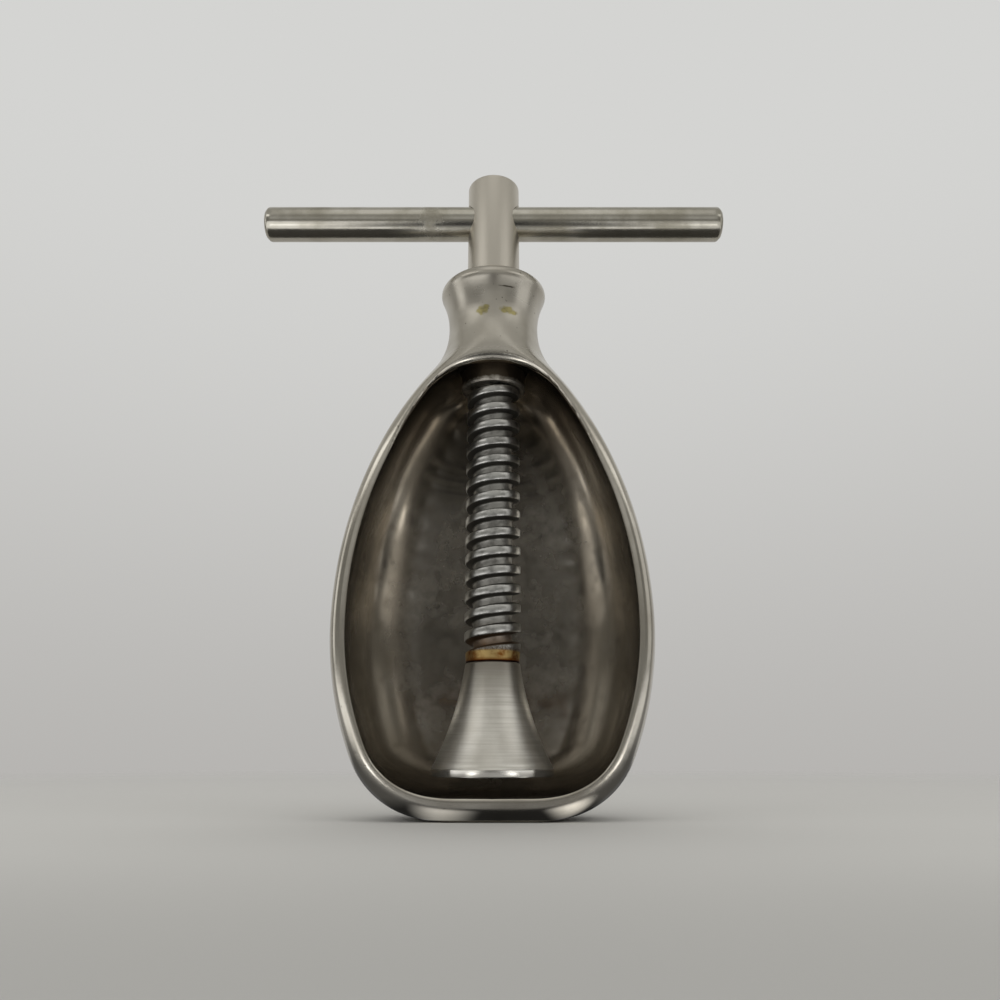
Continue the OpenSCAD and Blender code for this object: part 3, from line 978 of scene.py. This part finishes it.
bar = {
    "radius": 4,
    "half": 54,
    "chamfer": 0.8,
    "endRound": 0.25,
    "soft": (0.1, 0.12),   # how the chamfer's two edges are broken
    "plain": 52,           # half length of the plain part
    "ringStep": 4,
    "steps": 80,
    "crease": 30,
}


def makeBar(b, s):
    r, half, c = b["radius"], b["half"], b["chamfer"]
    less, more = b["soft"]
    end = [(0, -half), (r - c - b["endRound"], -half), (r - c + less, -half + more),
           (r - more, -half + c - less), (r, -half + c + b["endRound"])]
    other = [(x, -z) for x, z in reversed(end)]
    middle = line((r, -b["plain"]), (r, b["plain"]), b["ringStep"])
    piece = turnOutline("handleBar", end + middle + other, b["steps"])
    layAlong(s["barHeight"])
    return piece


barMaterial = makePlatedBar(platedBar)
barPiece = makeBar(bar, screw)
smooth(barPiece, bar["crease"])
setIn(barPiece, "tommy_bar", "screw", "nickel_plated_bar", barMaterial)


# Stage, written in metres: pale floor that fades out into the pale room, and the lit floor that the
# metal mirrors

stage = {
    "floor": "#ebeae7",
    "floorNear": "#d0cfcc",   # painted shade, darker towards the viewer
    "nearEdge": (-0.05, -0.13),
    "floorRadius": 1.2,
    "floorRough": 0.8,
    "floorSpecular": 0.1,
    "fade": (0.03, 0.6),      # from the axis, over which the floor fades out
    "wall": ("#b4b2af", "#d4d4d2"),   # low and high
    "wallRise": (-0.15, 0.65),
    "room": ("#7e7d79", "#b0afab"),
    "roomRise": (0.36, 0.5),
    "turn": (0.55, 0),        # from the wall behind to the room in front
}


def makeFloor(s):
    bpy.ops.object.select_all(action="DESELECT")
    bpy.ops.mesh.primitive_circle_add(vertices=96, radius=s["floorRadius"], fill_type="NGON")
    floor = bpy.context.object
    floor.name = "floor"
    material, tree, shader, place = startMaterial("paleFloor")
    along = addNode(tree, "SeparateXYZ", [place], "Y")
    # painted shade: the floor darkens towards the viewer
    near = addNode(tree, "MapRange", (along, *s["nearEdge"]), interpolation_type="SMOOTHSTEP")
    colour = addNode(tree, "MixRGB", (near, s["floor"], s["floorNear"]))
    tree.links.new(colour, shader.inputs["Base Color"])
    shader.inputs["Roughness"].default_value = s["floorRough"]
    shader.inputs["Specular IOR Level"].default_value = s["floorSpecular"]
    away = addNode(tree, "VectorMath", [place], "Value", operation="LENGTH")
    gone = addNode(tree, "MapRange", (away, *s["fade"]), interpolation_type="SMOOTHSTEP")
    clear = addNode(tree, "BsdfTransparent")
    surface = addNode(tree, "MixShader", (gone, shader.outputs[0], clear))
    tree.links.new(surface, tree.nodes["Material Output"].inputs["Surface"])
    floor.data.materials.append(material)


def makeSky(s):
    # behind the tool a pale wall; in front of it the room, dim below and light above
    world = bpy.data.worlds.new("paleRoom")
    world.use_nodes = True
    bpy.context.scene.world = world
    tree = world.node_tree
    way = addNode(tree, "TexCoord", out="Generated")
    ahead = addNode(tree, "SeparateXYZ", [way], "Y")
    up = addNode(tree, "SeparateXYZ", [way], "Z")
    sides = []
    for side in ("wall", "room"):
        high = addNode(tree, "MapRange", (up, *s[side + "Rise"]), interpolation_type="SMOOTHSTEP")
        sides.append(addNode(tree, "MixRGB", (high, *s[side])))
    turn = addNode(tree, "MapRange", (ahead, *s["turn"]), interpolation_type="SMOOTHSTEP")
    colour = addNode(tree, "MixRGB", (turn, *sides))
    tree.links.new(colour, tree.nodes["Background"].inputs["Color"])


litFloor = {
    "size": (1.2, 0.68),
    "place": (0, -0.26, 0.0004),
    "left": 1.25,            # how bright the floor is at the left, at the right and near the bowl
    "right": 0.89,
    "near": 0.4,
    "sideEdge": (0.045, 0.09),   # the dark middle in front ends over these distances from the axis
    "nearEdge": (-0.17, -0.11),
    "shadeEdge": (0.04, 0.02),   # round the base and beside the bowl the floor lies in its shadow
    "besideEdge": (-0.035, -0.015),
    "shaded": 0.06,
    "beside": 0.3,
    "spots": [(-0.115, -0.185, 0.05, 1.5), (0.115, -0.185, 0.05, 1.7),    # place, reach and light
              (-0.05, -0.09, 0.035, 1.2), (0.05, -0.09, 0.035, 1.3),
              (-0.043, -0.062, 0.02, 5), (0.043, -0.062, 0.02, 5),
              (-0.0095, -0.0135, 0.008, 0.9), (0.016, -0.0135, 0.007, 1.9)],
}


def makeCard(name, size, place):
    bpy.ops.object.select_all(action="DESELECT")
    bpy.ops.mesh.primitive_plane_add(size=1)
    card = bpy.context.object
    card.name = name
    bpy.ops.object.mode_set(mode="EDIT")
    bpy.ops.transform.resize(value=(*size, 1))
    bpy.ops.transform.translate(value=place)
    bpy.ops.object.mode_set(mode="OBJECT")
    card.visible_camera = False
    card.visible_diffuse = False
    card.visible_shadow = False
    return card


def finishCard(card, material, tree, surface):
    # a card shows only its upper side
    isBack = addNode(tree, "NewGeometry", out="Backfacing")
    clear = addNode(tree, "BsdfTransparent")
    oneSided = addNode(tree, "MixShader", (isBack, surface, clear))
    tree.links.new(oneSided, tree.nodes["Material Output"].inputs["Surface"])
    card.data.materials.append(material)


def makeLitFloor(f):
    # the floor as the metal mirrors it: light at the sides, dark in the middle, where the viewer stands
    card = makeCard("litFloor", f["size"], f["place"])
    material, tree, _, place = startMaterial("litFloor")
    across = addNode(tree, "SeparateXYZ", [place], "X")
    along = addNode(tree, "SeparateXYZ", [place], "Y")
    out = addNode(tree, "Math", [across], operation="ABSOLUTE")
    side = addNode(tree, "MapRange", (out, *f["sideEdge"]), interpolation_type="SMOOTHSTEP")
    end = f["sideEdge"][1]
    sideLight = addNode(tree, "MapRange", (across, -end, end, f["left"], f["right"]))
    nearLight = addNode(tree, "MapRange", (along, *f["nearEdge"], 0, f["near"]))
    gain = addNode(tree, "Math", (sideLight, nearLight), operation="SUBTRACT")
    light = addNode(tree, "Math", (gain, side, nearLight), operation="MULTIPLY_ADD")
    away = addNode(tree, "VectorMath", [place], "Value", operation="LENGTH")
    shade = addNode(tree, "MapRange", (away, *f["shadeEdge"], 1, f["shaded"]))
    beside = addNode(tree, "MapRange", (along, *f["besideEdge"], 1, f["beside"]))
    shade = addNode(tree, "Math", (shade, beside), operation="MINIMUM")
    light = addNode(tree, "Math", (light, shade), operation="MULTIPLY")
    for x, y, reach, more in f["spots"]:
        off = addNode(tree, "VectorMath", (place, (x, y, 0)), "Value", operation="DISTANCE")
        spot = addNode(tree, "MapRange", (off, reach, 0, 0, more), interpolation_type="SMOOTHSTEP")
        light = addNode(tree, "Math", (light, spot), operation="ADD")
    glow = addNode(tree, "Emission", {"Strength": light})
    finishCard(card, material, tree, glow)


wings = {
    "colour": "#4a4844",
    "rough": 0.9,
    "size": (0.085, 0.066),
    "out": 0.066,            # from the axis to the middle of each
    "back": 0.005,
    "height": 0.085,
}


def makeWings(w):
    # dark cards under the handle bar, seen only in the metal's mirror, painting the dark reflection
    # along its lower side
    for side, name in ((-1, "leftWing"), (1, "rightWing")):
        card = makeCard(name, w["size"], (side * w["out"], w["back"], w["height"]))
        material, tree, shader, _ = startMaterial("darkCard")
        shader.inputs["Base Color"].default_value = hexColour(w["colour"])
        shader.inputs["Roughness"].default_value = w["rough"]
        finishCard(card, material, tree, shader.outputs[0])


lampAim = (0, 0, 0.07)
lamps = [
    {"name": "leftHigh", "place": (-0.39, -0.327, 0.388), "size": (0.36, 0.126), "watts": 0.165},
    {"name": "rightHigh", "place": (0.39, -0.327, 0.388), "size": (0.36, 0.126), "watts": 0.123},
    {"name": "frontBox", "place": (0, -0.55, 0.24), "size": (0.58, 0.2), "watts": 0.1},
    {"name": "topBox", "place": (0, -0.282, 0.6), "size": (0.36, 0.4), "watts": 0.18},
    {"name": "leftSide", "place": (-0.58, -0.102, 0.184), "size": (0.206, 0.31), "watts": 0.168},
    {"name": "rightSide", "place": (0.56, -0.18, 0.184), "size": (0.37, 0.31), "watts": 0.18},
]


def makeLamp(lamp, aim):
    bpy.ops.object.select_all(action="DESELECT")
    bpy.ops.object.light_add(type="AREA", location=lamp["place"])
    light = bpy.context.object
    light.name = lamp["name"]
    light.data.shape = "RECTANGLE"
    light.data.size, light.data.size_y = lamp["size"]
    light.data.energy = lamp["watts"]
    light.rotation_euler = (Vector(aim) - light.location).to_track_quat("-Z", "Y").to_euler()
    light.visible_camera = False


camera = {
    "aim": (1.5, 0, 64),    # mm, the point in the middle of the picture
    "distance": 178,
    "lookUp": 17,           # degrees
    "focal": 0.83,          # focal length as a share of the picture's width
    "sensor": 36,
    "clipStart": 5,
}


def makeCamera(c):
    tilt = math.radians(c["lookUp"])
    back = Vector((0, -math.cos(tilt), -math.sin(tilt))) * c["distance"]
    bpy.ops.object.camera_add(location=(Vector(c["aim"]) + back) * mm,
                              rotation=(math.pi / 2 + tilt, 0, 0))
    made = bpy.context.object
    made.data.sensor_width = c["sensor"]
    made.data.lens = c["sensor"] * c["focal"]
    made.data.clip_start = c["clipStart"] * mm
    bpy.context.scene.camera = made


makeFloor(stage)
makeSky(stage)
makeLitFloor(litFloor)
makeWings(wings)
for lamp in lamps:
    makeLamp(lamp, lampAim)
makeCamera(camera)
bpy.context.scene.view_settings.view_transform = "Standard"
print("stage, lamps and camera set")
